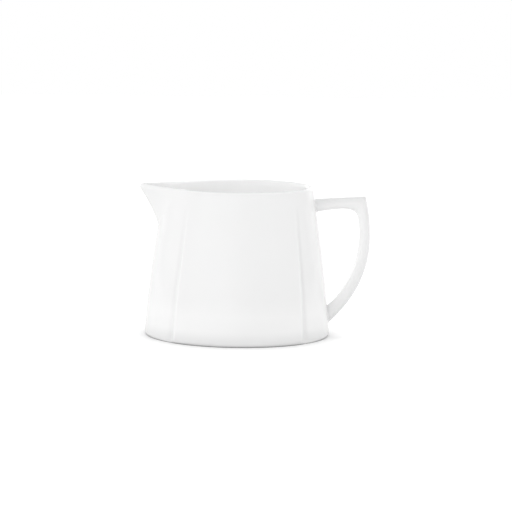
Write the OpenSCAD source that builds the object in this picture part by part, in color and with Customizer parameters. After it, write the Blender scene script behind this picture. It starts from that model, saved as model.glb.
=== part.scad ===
// Porcelain sauce jug: a tapered, pleated body with a beak spout and an open loop handle.
// Z points up from the table, the spout points along -X and the handle along +X.

/* [Body] */
// Diameter of the wall at the table
base_d = 110; // [106:0.5:114]
// Height of the rim above the table
body_h = 88.7; // [87:0.1:91]
// Outside diameter of the round mouth
mouth_d = 88; // [86:0.5:90]
// Inward lean of the wall at the table, in degrees
foot_lean = 3.8; // [3:0.1:5]
// Inward lean of the wall at the rim, in degrees
rim_lean = 8.5; // [7.5:0.1:9.5]
// Thickness of the cast wall
wall_t = 3.5; // [3:0.1:3.6]
// Thickness of the floor
floor_t = 4; // [3:0.1:5]
// Radius between the floor and the inside of the wall
floor_fillet = 12; // [8:1:16]

/* [Foot ring] */
// Width of the flat ring that stands on the table
foot_w = 3; // [2:0.1:4]
// Height of the hollow under the floor
foot_h = 2.2; // [1.5:0.1:3]
// Radius of the edge where the wall turns under to the foot
foot_round = 2; // [1:0.1:3]

/* [Pleats] */
// Depth of a pleat at the table
pleat_depth = 2; // [1.2:0.1:2]
// Height at which a pleat fades out
pleat_top = 80; // [66:1:80]
// Angle of a pleat's ridge from the line through spout and handle, in degrees
pleat_angle = 47.2; // [44:0.1:50]
// Fall of the flank beside the ridge, in degrees from the wall
pleat_flank = 20; // [16:1:24]
// Length along the wall, at the table, from the ridge to where the hollow runs out
pleat_reach = 26; // [22:1:28]

/* [Spout] */
// Reach of the beak from the axis, at rim level
spout_reach = 60.2; // [58:0.1:62]
// Height of the beak, from its foot on the wall up to the rim
spout_h = 23.2; // [21:0.1:25]
// Outward lean of the beak at its foot, in degrees
keel_lean = 18.3; // [14:0.1:22]
// Angle at the axis from the tip to where the beak's flank joins the round rim, in degrees
beak_spread = 36; // [32:1:38]
// Angle at the axis over which the tip is rounded, in degrees
tip_angle = 3.5; // [2:0.1:5]
// Thickness of the beak at its tip
tip_t = 4.5; // [4:0.1:5]
// Width of the spout casting at its lower end
panel_foot_w = 20; // [20:1:26]
// Width of the spout casting at the rim
panel_rim_w = 60; // [58:1:64]

/* [Handle] */
// Reach of the elbow's outer corner from the axis
elbow_x = 75.4; // [73:0.1:78]
// Height of the elbow's outer corner
elbow_z = 83.2; // [82:0.1:84.5]
// Distance of the elbow's inside corner in from the outer corner
elbow_in = 5.1; // [4:0.1:6.5]
// Distance of the elbow's inside corner below the outer corner
elbow_down = 7.9; // [7:0.1:9]
// Length that the inside curve takes off each side of that corner
elbow_curve = 5.3; // [3:0.1:7]
// Height of the bar's top edge at the wall
bar_z = 81.1; // [80:0.1:82]
// Thickness of the bar at the wall
bar_t = 7.8; // [7:0.1:9]
// Outward lean of the bow's outer edge at the elbow, in degrees
bow_lean_out = 13; // [8:1:18]
// Outward lean of the bow's inner edge at the elbow, in degrees
bow_lean_in = 10; // [6:1:14]
// Lean of the bow where it comes back to the wall, in degrees
root_lean = 47; // [42:1:52]
// Height of the bow's lower edge at the wall
root_z = 8.6; // [7:0.1:11]
// Height of the bow's foot along the wall
root_h = 10.1; // [9:0.1:12]
// Width of the handle at the bar, across the jug
bar_w = 11; // [9:0.1:13]
// Width of the handle at its lower end, across the jug
root_w = 9; // [8:0.1:12]

/* [Slip joints] */
// Thickness of a layer of slip between two castings
slip_t = 0.6; // [0.4:0.1:0.8]
// Width of the bead of slip around each end of the handle
bead_w = 0.5; // [0.3:0.1:0.8]

/* [Hidden] */

$fn = 128;
porcelain = [0.95, 0.95, 0.94];
fired_slip = [0.88, 0.88, 0.86];
beyond = 20;

// Steps along each curve
wall_steps = 16;
arc_steps = 6;
fillet_steps = 10;
lip_steps = 8;
pleat_steps = 12;
run_steps = 6;
beak_rows = 10;
beak_fan = 28;
section_sides = 20;
bar_steps = 6;
elbow_steps = 10;
bow_steps = 18;

// Wall, floor and foot
base_r = base_d / 2;
mouth_r = mouth_d / 2;
lip_r = wall_t / 2;
floor_z = foot_h + floor_t;
foot_out_r = wall_r(foot_round) - foot_round;
foot_in_r = foot_out_r - foot_w;
fillet_lean = wall_lean(floor_z + floor_fillet);
fillet_top = floor_z + floor_fillet * (1 + sin(fillet_lean));
fillet_x = wall_r(fillet_top) - wall_t - floor_fillet * cos(fillet_lean);

// A pleat is cut from below the table and clear of the wall, up to just short of where it fades to nothing
pleat_end = 0.97 * pleat_top;
pleat_low = -1;
pleat_out = 3;

// Spout: its keel leaves the wall at keel_z, a little above the lower end of the casting
keel_z = body_h - spout_h;
panel_below = 3.5;
panel_z = keel_z - panel_below;
panel_back = 10;
channel_narrowing = 3;
fan_angle = 55;
fan_power = 1.8;

// Handle, in the plane through spout and handle
bar_start = mouth_r - 1;
bar_pull = 7.5;
bar_slope = [-1, 0.1];
elbow = [elbow_x, elbow_z];
inside = elbow - [elbow_in, elbow_down];
bend_start = inside + elbow_curve * bar_slope;
bend_end = inside + leaning(elbow_curve, 180 - bow_lean_in);
root_low = [wall_r(root_z), root_z];
root_high = [wall_r(root_z + root_h), root_z + root_h];
root_depth = 4;
bow_pull = 27;
bow_root_pull = 35;
grip_pull = 18;
grip_root_pull = 21;
bar_edge = [[bar_start, bar_z], elbow];
bow_edge = [
    elbow,
    elbow + leaning(bow_pull, 180 - bow_lean_out),
    root_low + leaning(bow_root_pull, root_lean),
    root_low
];
under_edge = [[bar_start, bar_z - bar_t], bend_start + bar_pull * bar_slope, bend_start];
bend_edge = [bend_start, inside, bend_end];
grip_edge = [
    bend_end,
    bend_end + leaning(grip_pull, 180 - bow_lean_in),
    root_high + leaning(grip_root_pull, root_lean),
    root_high
];

// A place along the handle runs from 0 at the wall, through 1 at the elbow, to 2 at its lower end
bend_share = 0.12;
tail = 0.2;
upper_pad_end = 0.5;
lower_pad_start = 1.8;
section_power = 2.4;

// Radius of the outside of the wall at height z
function wall_r(z) =
    let (
        t = z / body_h,
        drop = mouth_r - base_r,
        at_foot = -body_h * tan(foot_lean),
        at_rim = -body_h * tan(rim_lean)
    )
    base_r + at_foot * t + (3 * drop - 2 * at_foot - at_rim) * t ^ 2 + (at_foot + at_rim - 2 * drop) * t ^ 3;

// Inward lean of the wall at height z, in degrees
function wall_lean(z) = atan(wall_r(z - 0.5) - wall_r(z + 0.5));

// Depth of a pleat at height z
function pleat_d(z) = pleat_depth * (1 - z / pleat_top);

// Length along the wall at height z from a pleat's ridge to where its hollow runs out
function pleat_run(z) = pleat_reach * sqrt(1 - z / pleat_top);

// Length along the wall at height z from a pleat's ridge to the bottom of its hollow
function flank_run(z) = pleat_d(z) / (tan(pleat_flank) + pleat_d(z) / pleat_run(z));

// Depth of the hollow at height z, at a length along the wall from the ridge
function sunk(length, z) = min(length * tan(pleat_flank), pleat_d(z) * (1 - length / pleat_run(z)));

// Lengths from the ridge at height z: across it, down the flank, then out along the hollow and past its end
function pleat_lengths(z) =
    let (flank = flank_run(z), rest = pleat_run(z) - flank)
    concat([-flank / 2], [for (i = [0:run_steps + 1]) flank + rest * i / run_steps]);

// Even steps from one value up to, but not including, another
function rows(from, to, count) = [for (i = [0:count - 1]) from + (to - from) * i / count];

// Points of an arc with two radii
function arc(centre, rx, ry, from, to, count) =
    [for (i = [0:count]) let (a = from + (to - from) * i / count) centre + [rx * cos(a), ry * sin(a)]];

// Point on the smooth curve that a list of points pulls
function bezier(p, t) =
    len(p) == 1 ? p[0] : bezier([for (i = [0:len(p) - 2]) p[i] * (1 - t) + p[i + 1] * t], t);

// Step of some length, at an angle from upright
function leaning(length, angle) = length * [sin(angle), cos(angle)];

// Reach of the beak's keel from the axis at height z
function keel_x(z) =
    let (
        up = max(0, z - keel_z),
        start = wall_r(keel_z),
        flare = spout_reach - start - spout_h * tan(keel_lean)
    )
    start + up * tan(keel_lean) + flare * (up / spout_h) ^ 2;

// Angle from the keel to the edge of the beak's flank at height z
function flank_angle(z) = beak_spread * sqrt(max(0, z - keel_z) / spout_h);

// Angle off the spout, counted slowly across the rounded tip
function past_tip(angle) = norm([angle, tip_angle]) - tip_angle;

// Distance from the axis, at an angle off the spout, of a circle drawn out to a beak with hollow flanks
function drawn_out(angle, round_r, reach, flank) =
    reach <= round_r || abs(angle) >= flank ? round_r :
    round_r + (reach - round_r) * (1 - past_tip(angle) / past_tip(flank)) ^ 2;

// Outside and inside of the wall at an angle off the spout
function outside_r(angle, z) = drawn_out(angle, wall_r(z), keel_x(z), flank_angle(z));
function inside_r(angle, z) =
    drawn_out(angle, wall_r(z) - wall_t, keel_x(z) - tip_t, flank_angle(z) - channel_narrowing);

// Section of the wall, from a height outside, over the rolled rim, and down to a height inside
function wall_section(angle, low_out, low_in, count) =
    let (
        tilt = atan(outside_r(angle, body_h - 1) - outside_r(angle, body_h)),
        out_z = body_h - lip_r * (1 - sin(tilt)),
        in_z = body_h - lip_r * (1 + sin(tilt)),
        out_r = outside_r(angle, out_z),
        in_r = inside_r(angle, in_z),
        lip = [(out_r + in_r) / 2, body_h - lip_r],
        lip_w = (out_r - in_r) / 2 / cos(tilt)
    )
    concat(
        [for (z = rows(low_out, out_z, count)) [outside_r(angle, z), z]],
        arc(lip, lip_w, lip_r, tilt, 180 + tilt, lip_steps),
        [for (i = [count - 1:-1:0]) let (z = low_in + (in_z - low_in) * i / count) [inside_r(angle, z), z]]
    );

// Outer and inner edge of the handle at a place along it
function edge_out(s) =
    s <= 1 ? bezier(bar_edge, s) :
    s <= 2 ? bezier(bow_edge, s - 1) :
    root_low - leaning(root_depth * (s - 2) / tail, root_lean);
function edge_in(s) =
    s <= 1 - bend_share ? bezier(under_edge, s / (1 - bend_share)) :
    s <= 1 + bend_share ? bezier(bend_edge, (s - 1 + bend_share) / 2 / bend_share) :
    s <= 2 ? bezier(grip_edge, (s - 1 - bend_share) / (1 - bend_share)) :
    root_high - leaning(root_depth * (s - 2) / tail, root_lean);

// A power that keeps the sign, for sections between an ellipse and a rectangle
function soft(v) = sign(v) * abs(v) ^ (2 / section_power);

// Ring of points round the handle at a place along it, swollen by a bead
function grip_ring(s, bead) =
    let (
        middle = (edge_out(s) + edge_in(s)) / 2,
        half = (edge_out(s) - edge_in(s)) / 2,
        swell = 1 + bead / norm(half),
        half_w = (bar_w + (root_w - bar_w) * min(1, s / 2)) / 2 + bead
    )
    [for (k = [0:section_sides - 1])
        let (
            a = 360 * k / section_sides,
            p = middle + half * swell * soft(cos(a))
        )
        [p[0], half_w * soft(sin(a)), p[1]]];

// Closed skin over a row of rings
module loft(rings) {
    n = len(rings);
    m = len(rings[0]);
    sides = [for (i = [0:n - 2], j = [0:m - 1])
        let (a = i * m + j, b = i * m + (j + 1) % m)
        each [[a, b, b + m], [a, b + m, a + m]]];
    ends = [[for (j = [m - 1:-1:0]) j], [for (j = [0:m - 1]) (n - 1) * m + j]];
    polyhedron([for (ring = rings) each ring], concat(sides, ends));
}

module mirrored(direction) {
    children();
    mirror(direction) children();
}

// Space between two grids of points, with the first one inside
module between(inner, outer) {
    n = len(inner);
    m = len(inner[0]);
    far = n * m;
    skins = [for (i = [0:n - 2], j = [0:m - 2])
        let (a = i * m + j, b = a + 1, c = b + m, d = a + m)
        each [[a, c, b], [a, d, c], [far + a, far + b, far + c], [far + a, far + c, far + d]]];
    edge = concat(
        [for (j = [0:m - 2]) j],
        [for (i = [0:n - 2]) i * m + m - 1],
        [for (j = [m - 1:-1:1]) (n - 1) * m + j],
        [for (i = [n - 1:-1:1]) i * m]
    );
    sides = [for (k = [0:len(edge) - 1])
        let (a = edge[k], b = edge[(k + 1) % len(edge)])
        each [[a, b, far + b], [a, far + b, far + a]]];
    points = concat([for (row = inner) each row], [for (row = outer) each row]);
    polyhedron(points, concat(skins, sides));
}

// What a pleat takes off the wall beside its ridge, towards the line through spout and handle
module pleat_hollow() {
    heights = concat(rows(pleat_low, pleat_end, pleat_steps), [pleat_end]);
    function place(r, length, z) =
        let (angle = pleat_angle - length / base_r * 180 / PI)
        [r * cos(angle), r * sin(angle), z];
    between(
        [for (z = heights) [for (u = pleat_lengths(z)) place(wall_r(z) - sunk(u, z), u, z)]],
        [for (z = heights) [for (u = pleat_lengths(z)) place(wall_r(z) + pleat_out, u, z)]]
    );
}

// Wall, floor and foot ring, turned round the axis
module turned_body() {
    rotate_extrude()
        polygon(concat(
            [[0, foot_h]],
            arc([foot_in_r - foot_h, 0], foot_h, foot_h, 90, 0, arc_steps),
            arc([foot_out_r, foot_round], foot_round, foot_round, -90, 0, arc_steps),
            wall_section(180, 1.5 * foot_round, fillet_top, wall_steps),
            arc(
                [fillet_x, floor_z + floor_fillet], floor_fillet, floor_fillet,
                fillet_lean, -90, fillet_steps
            ),
            [[0, floor_z]]
        ));
}

// Everything within the outside of the wall, grown by a layer of slip
module wall_core(grow) {
    rotate_extrude()
        polygon(concat(
            [[0, 0]],
            [for (z = rows(0, body_h, wall_steps)) [wall_r(z) + grow, z]],
            [[wall_r(body_h) + grow, body_h], [0, body_h]]
        ));
}

// Layer on the outside of the wall, as thick as the slip
module slip_layer() {
    difference() {
        wall_core(slip_t);
        wall_core(0);
    }
}

// Space that the spout casting takes in the wall, less a layer all round
module panel(layer) {
    widening = (panel_rim_w - panel_foot_w) / 2 / (body_h - panel_z);
    low = panel_z + layer;
    high = body_h + beyond;
    layer_across = layer * sqrt(1 + widening ^ 2);
    low_half = panel_foot_w / 2 + widening * layer - layer_across;
    high_half = low_half + widening * (high - low);
    translate([-base_r - beyond, 0, 0])
        rotate([90, 0, 90])
            linear_extrude(base_r + beyond - panel_back)
                polygon([[-low_half, low], [low_half, low], [high_half, high], [-high_half, high]]);
}

// The wall at the front with the beak drawn out of it, as a fan of sections
module beak() {
    loft([for (k = [0:beak_fan])
        let (
            across = 2 * k / beak_fan - 1,
            angle = fan_angle * sign(across) * abs(across) ^ fan_power
        )
        [for (p = wall_section(angle, panel_z - 1, panel_z - 1, beak_rows))
            [-p[0] * cos(angle), p[0] * sin(angle), p[1]]]]);
}

// Stretch of the handle between two places along it
module grip(from, to, bead) {
    places = concat(
        rows(0, 1 - bend_share, bar_steps),
        rows(1 - bend_share, 1 + bend_share, elbow_steps),
        rows(1 + bend_share, 2, bow_steps),
        [2, 2 + tail]
    );
    loft([for (s = places) if (s >= from && s <= to) grip_ring(s, bead)]);
}

module body() {
    color(porcelain)
        difference() {
            turned_body();
            mirrored([1, 0, 0])
                mirrored([0, 1, 0])
                    pleat_hollow();
            panel(0);
        }
}

module spout() {
    color(porcelain)
        intersection() {
            beak();
            panel(slip_t);
        }
}

module handle() {
    color(porcelain)
        difference() {
            grip(0, 2 + tail, 0);
            wall_core(slip_t);
        }
}

module spout_slip_joint() {
    color(fired_slip)
        intersection() {
            turned_body();
            difference() {
                panel(0);
                panel(slip_t);
            }
        }
}

module handle_upper_slip_joint() {
    color(fired_slip)
        intersection() {
            grip(0, upper_pad_end, bead_w);
            slip_layer();
        }
}

module handle_lower_slip_joint() {
    color(fired_slip)
        intersection() {
            grip(lower_pad_start, 2 + tail, bead_w);
            slip_layer();
        }
}

body();
spout();
handle();
spout_slip_joint();
handle_upper_slip_joint();
handle_lower_slip_joint();
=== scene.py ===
"""Looks of a porcelain sauce jug: a pleated body, a beak spout and an open loop handle."""

import logging
import math
from dataclasses import dataclass
from enum import Enum
from typing import Any, Iterable, Sequence

import bpy
import numpy as np
from mathutils import Matrix, Vector


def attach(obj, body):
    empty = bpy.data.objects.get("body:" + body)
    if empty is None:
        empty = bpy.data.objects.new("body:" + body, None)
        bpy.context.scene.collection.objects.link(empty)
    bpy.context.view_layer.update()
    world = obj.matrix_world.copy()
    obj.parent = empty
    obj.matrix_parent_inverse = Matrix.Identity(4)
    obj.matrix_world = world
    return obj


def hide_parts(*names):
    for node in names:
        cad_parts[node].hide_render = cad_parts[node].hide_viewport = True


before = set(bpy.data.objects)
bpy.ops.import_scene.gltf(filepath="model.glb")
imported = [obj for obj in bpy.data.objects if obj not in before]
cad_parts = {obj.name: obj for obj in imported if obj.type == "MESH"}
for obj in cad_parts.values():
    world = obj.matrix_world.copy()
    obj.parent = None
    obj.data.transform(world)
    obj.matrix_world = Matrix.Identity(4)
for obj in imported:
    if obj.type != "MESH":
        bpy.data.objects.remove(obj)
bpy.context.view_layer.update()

LOG = logging.getLogger("sauce_jug")
MM = 0.001
BODY = "root"
PLEAT_SHARE = "pleat_share"
# Per-point value that darkens the glaze: mostly painted shade and painted highlights, partly the glaze's own
# depth.
GLAZE_AND_SHADE = "glaze_and_painted_shade"
# Least angle in degrees, and least length, that anything is divided by.
NO_ANGLE = 1e-3
NO_LENGTH = 1e-12

Array = np.ndarray
Colour = tuple[float, float, float]
Face = Sequence[int]
Socket = bpy.types.NodeSocket
# Angles, radii, heights, pleat share and glaze depth along one row of points.
Row = tuple[Array, Array, Array, float, Any]


class Slot(Enum):
    """Material slots of the record."""

    PORCELAIN = "porcelain"
    FIRED_SLIP = "fired_slip"
    UNGLAZED_FOOT = "unglazed_foot"


class NodeWriter:
    """Adds nodes to one tree and links them."""

    MIXED_COLOURS = (6, 7)
    MIXED_RESULT = 2

    def __init__(self, tree: bpy.types.NodeTree) -> None:
        """Keeps the tree, emptied of what it starts with."""
        self.tree = tree
        tree.nodes.clear()

    def add(self, kind: str, inputs: dict[Any, Any] | None = None, **settings: Any) -> bpy.types.Node:
        """Adds one node.

        Args:
            kind: Type name of the node.
            inputs: Values or sockets for its inputs, by name or by number.
            settings: Properties of the node.

        Returns:
            The new node.
        """
        node = self.tree.nodes.new(kind)
        for name, value in settings.items():
            setattr(node, name, value)
        for key, value in (inputs or {}).items():
            if isinstance(value, Socket):
                self.tree.links.new(value, node.inputs[key])
            else:
                node.inputs[key].default_value = value
        return node

    def math(self, operation: str, *values: Any) -> Socket:
        """Adds a Math node.

        Args:
            operation: Name of the operation.
            values: Its numbers or sockets, in order.

        Returns:
            The socket of its result.
        """
        return self.add("ShaderNodeMath", dict(enumerate(values)), operation=operation).outputs[0]

    def ramp(self, value: Any, start: Any, end: Any, low: Any, high: Any, smooth: bool = False) -> Socket:
        """Adds a clamped Map Range node.

        Args:
            value: Number or socket to map.
            start: Value that becomes low.
            end: Value that becomes high.
            low: First result.
            high: Last result.
            smooth: Whether the ramp eases in and out.

        Returns:
            The socket of its result.
        """
        inputs = {"Value": value, "From Min": start, "From Max": end, "To Min": low, "To Max": high}
        kind = "SMOOTHSTEP" if smooth else "LINEAR"
        return self.add("ShaderNodeMapRange", inputs, interpolation_type=kind).outputs["Result"]

    def blend(self, share: Socket, first: Colour, second: Colour) -> Socket:
        """Adds a mix of two colours.

        Args:
            share: Share of the second colour.
            first: Colour where the share is 0.
            second: Colour where the share is 1.

        Returns:
            The socket of the mixed colour.
        """
        mix = self.add("ShaderNodeMix", {"Factor": share}, data_type="RGBA")
        for number, colour in zip(self.MIXED_COLOURS, (first, second)):
            mix.inputs[number].default_value = (*colour, 1.0)
        return mix.outputs[self.MIXED_RESULT]

    def noise(self, place: Socket, scale: float, detail: float) -> Socket:
        """Adds a noise of some scale and detail."""
        inputs = {"Vector": place, "Scale": scale, "Detail": detail}
        return self.add("ShaderNodeTexNoise", inputs).outputs["Fac"]

    def bump(self, relief: Socket, height: float, below: Socket | None = None) -> Socket:
        """Adds a fine relief to a surface.

        Args:
            relief: Socket of the relief, from 0 to 1.
            height: Height of the relief in metres.
            below: Normals of a relief that this one lies on.

        Returns:
            The socket of the normals.
        """
        inputs = {"Height": relief, "Strength": 1.0, "Distance": height}
        if below is not None:
            inputs["Normal"] = below
        return self.add("ShaderNodeBump", inputs).outputs["Normal"]

    def stored(self, name: str) -> Socket:
        """Reads the number stored on each point, in a geometry tree."""
        reader = self.add("GeometryNodeInputNamedAttribute", {"Name": name}, data_type="FLOAT")
        return reader.outputs[0]

    def open_rule(self, sizes: Iterable[str]) -> bpy.types.NodeOutputs:
        """Starts a geometry tree that takes a piece, named sizes and a finish, and gives a piece.

        Args:
            sizes: Names of the sizes.

        Returns:
            The sockets of the inputs, by name.
        """
        face = self.tree.interface
        face.new_socket("Piece", in_out="INPUT", socket_type="NodeSocketGeometry")
        for name in sizes:
            face.new_socket(name, in_out="INPUT", socket_type="NodeSocketFloat")
        face.new_socket("Finish", in_out="INPUT", socket_type="NodeSocketMaterial")
        face.new_socket("Piece", in_out="OUTPUT", socket_type="NodeSocketGeometry")
        return self.add("NodeGroupInput").outputs

    def close_rule(self, piece: Socket, finish: Socket) -> None:
        """Ends a geometry tree: makes the piece real and gives it its finish.

        Args:
            piece: Socket of the shaped piece.
            finish: Socket of the material.
        """
        real = self.add("GeometryNodeRealizeInstances", {"Geometry": piece}).outputs[0]
        dressed = self.add("GeometryNodeSetMaterial", {"Geometry": real, "Material": finish}).outputs[0]
        self.add("NodeGroupOutput", {0: dressed})


def blank_material(name: str) -> tuple[bpy.types.Material, NodeWriter]:
    """Makes a material with an empty tree.

    Args:
        name: Name of the material.

    Returns:
        The material and the writer of its nodes.
    """
    material = bpy.data.materials.new(name)
    material.use_nodes = True
    return material, NodeWriter(material.node_tree)


@dataclass(frozen=True)
class GlazedPorcelain:
    """White porcelain under a clear glaze, darkened by painted shade in hollows and lightened by painted
    highlights on edges.
    """

    name: str = "glazed_porcelain"
    # Tone where no shade is painted, and tone where the painted shade is full.
    thin_glaze_lit: Colour = (0.985, 0.985, 0.984)
    thick_glaze_shaded: Colour = (0.868, 0.869, 0.870)
    depth_spread: float = 0.04
    cloud_scale: float = 28.0
    cloud_detail: float = 4.0
    cloud_ends: tuple[float, float] = (0.3, 0.7)
    wave_scale: float = 42.0
    wave_detail: float = 1.0
    wave_height: float = 0.00006
    peel_scale: float = 900.0
    peel_detail: float = 2.0
    peel_height: float = 0.0000022
    gloss: tuple[float, float] = (0.05, 0.1)
    ior: float = 1.5

    def build(self) -> bpy.types.Material:
        """Makes the material.

        Returns:
            The material.
        """
        material, nodes = blank_material(self.name)
        place = nodes.add("ShaderNodeTexCoord").outputs["Object"]
        clouds = nodes.noise(place, self.cloud_scale, self.cloud_detail)
        depth = nodes.add("ShaderNodeAttribute", attribute_name=GLAZE_AND_SHADE).outputs["Fac"]
        drift = nodes.ramp(clouds, *self.cloud_ends, -self.depth_spread, self.depth_spread)
        # Painted shade and highlights from the stored points, with a random drift in the glaze's own tone.
        tint = nodes.blend(nodes.math("ADD", depth, drift), self.thin_glaze_lit, self.thick_glaze_shaded)
        rough = nodes.ramp(clouds, *self.cloud_ends, *self.gloss)
        waves = nodes.bump(nodes.noise(place, self.wave_scale, self.wave_detail), self.wave_height)
        peel = nodes.bump(nodes.noise(place, self.peel_scale, self.peel_detail), self.peel_height, waves)
        look = {"Base Color": tint, "Roughness": rough, "IOR": self.ior, "Normal": peel}
        shader = nodes.add("ShaderNodeBsdfPrincipled", look)
        nodes.add("ShaderNodeOutputMaterial", {"Surface": shader.outputs["BSDF"]})
        return material


@dataclass(frozen=True)
class BareClay:
    """Fired clay wiped free of glaze: matt, a little warmer and faintly marked by the kiln shelf."""

    name: str = "bare_clay"
    pale: Colour = (0.80, 0.78, 0.74)
    dusty: Colour = (0.66, 0.63, 0.58)
    mark_scale: float = 260.0
    mark_detail: float = 6.0
    mark_ends: tuple[float, float] = (0.45, 0.75)
    grain_scale: float = 4200.0
    grain_detail: float = 3.0
    grain_height: float = 0.00002
    roughness: float = 0.78

    def build(self) -> bpy.types.Material:
        """Makes the material.

        Returns:
            The material.
        """
        material, nodes = blank_material(self.name)
        place = nodes.add("ShaderNodeTexCoord").outputs["Object"]
        marks = nodes.noise(place, self.mark_scale, self.mark_detail)
        tint = nodes.blend(nodes.ramp(marks, *self.mark_ends, 0.0, 1.0), self.pale, self.dusty)
        grain = nodes.bump(nodes.noise(place, self.grain_scale, self.grain_detail), self.grain_height)
        look = {"Base Color": tint, "Roughness": self.roughness, "Normal": grain}
        shader = nodes.add("ShaderNodeBsdfPrincipled", look)
        nodes.add("ShaderNodeOutputMaterial", {"Surface": shader.outputs["BSDF"]})
        return material


def leaning(length: float, angle: float) -> Array:
    """Step of some length, at an angle in degrees from upright."""
    return length * np.array([math.sin(math.radians(angle)), math.cos(math.radians(angle))])


def bezier(points: Sequence[Any], t: Array) -> Array:
    """Finds points on the smooth curve that a list of points pulls.

    Args:
        points: The points that pull the curve.
        t: Places along the curve, from 0 to 1.

    Returns:
        One point for each place.
    """
    share = np.asarray(t, float)[..., None]
    level = [np.asarray(p, float) for p in points]
    while len(level) > 1:
        level = [a * (1 - share) + b * share for a, b in zip(level, level[1:])]
    return level[0]


def ring_faces(rings: int, count: int, looped: bool = False) -> Array:
    """Joins closed rings of points by four-sided faces.

    Args:
        rings: Number of rings.
        count: Points in each ring.
        looped: Whether the last ring is joined to the first.

    Returns:
        Point numbers of the faces, by ring and by place in the ring.
    """
    here = np.arange(rings * count).reshape(rings, count)
    if looped:
        here = np.concatenate([here, here[:1]])
    after = np.roll(here, -1, axis=1)
    return np.stack([here[:-1], after[:-1], after[1:], here[1:]], -1)


def fan(ring: Array, pole: int) -> Array:
    """Joins a pole to a closed ring of points by three-sided faces, in the direction of the ring."""
    return np.stack([np.full_like(ring, pole), ring, np.roll(ring, -1)], -1)


def unit(vectors: Array) -> Array:
    """Scales rows of numbers to length 1."""
    return vectors / np.linalg.norm(vectors, axis=1)[:, None]


def smooth_mesh(name: str, points: Array, faces: Sequence[Face]) -> bpy.types.Mesh:
    """Makes a smooth-shaded mesh.

    Args:
        name: Name of the mesh.
        points: Its points in millimetres.
        faces: Rows of point numbers.

    Returns:
        The mesh, in metres.
    """
    mesh = bpy.data.meshes.new(name)
    mesh.from_pydata((points * MM).tolist(), [], [list(map(int, face)) for face in faces])
    mesh.shade_smooth()
    mesh.update()
    return mesh


def write_points(mesh: bpy.types.Mesh, name: str, values: Array) -> None:
    """Stores one number for each point of a mesh.

    Args:
        mesh: Mesh that keeps the numbers.
        name: Name of the attribute.
        values: One number for each point.
    """
    attribute = mesh.attributes.new(name, "FLOAT", "POINT")
    attribute.data.foreach_set("value", np.ascontiguousarray(values, np.float32))


def read_points(mesh: bpy.types.Mesh, name: str) -> Array:
    """Reads back the number stored for each point of a mesh.

    Args:
        mesh: Mesh that keeps the numbers.
        name: Name of the attribute.

    Returns:
        One number for each point.
    """
    values = np.zeros(len(mesh.vertices), np.float32)
    mesh.attributes[name].data.foreach_get("value", values)
    return values


def plain_mesh(
    name: str, base: bpy.types.Mesh, tree: bpy.types.NodeTree, settings: dict[str, Any]
) -> bpy.types.Mesh:
    """Runs a node tree on a mesh and keeps the result as a plain mesh.

    Args:
        name: Name of the result.
        base: Mesh that the tree starts from.
        tree: Geometry node tree.
        settings: Values for the tree's inputs, by their names.

    Returns:
        The finished mesh.
    """
    holder = bpy.data.objects.new(name, base)
    bpy.context.scene.collection.objects.link(holder)
    modifier = holder.modifiers.new(name, "NODES")
    modifier.node_group = tree
    for item in tree.interface.items_tree:
        if item.in_out == "INPUT" and item.name in settings:
            modifier[item.identifier] = settings[item.name]
    graph = bpy.context.evaluated_depsgraph_get()
    graph.update()
    mesh = bpy.data.meshes.new_from_object(
        holder.evaluated_get(graph), preserve_all_data_layers=True, depsgraph=graph
    )
    holder.modifiers.clear()
    bpy.data.objects.remove(holder)
    mesh.name = name
    return mesh


def place_piece(
    name: str, mesh: bpy.types.Mesh, finish: bpy.types.Material, slot: Slot, *nodes: str
) -> None:
    """Puts a finished mesh on the jug and reports it.

    Args:
        name: Name of the piece.
        mesh: Its mesh, in place.
        finish: Its material.
        slot: Record slot of that finish; not used.
        nodes: Names of the solids that it stands for.
    """
    mesh.materials.clear()
    mesh.materials.append(finish)
    piece = bpy.data.objects.new(name, mesh)
    bpy.context.scene.collection.objects.link(piece)
    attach(piece, BODY)
    if nodes:
        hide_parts(*nodes)
    low = [min(v.co[i] for v in mesh.vertices) / MM for i in range(3)]
    high = [max(v.co[i] for v in mesh.vertices) / MM for i in range(3)]
    LOG.info(
        "%s: %d faces, from (%.1f, %.1f, %.1f) to (%.1f, %.1f, %.1f) mm",
        name, len(mesh.polygons), *low, *high,
    )


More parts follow.
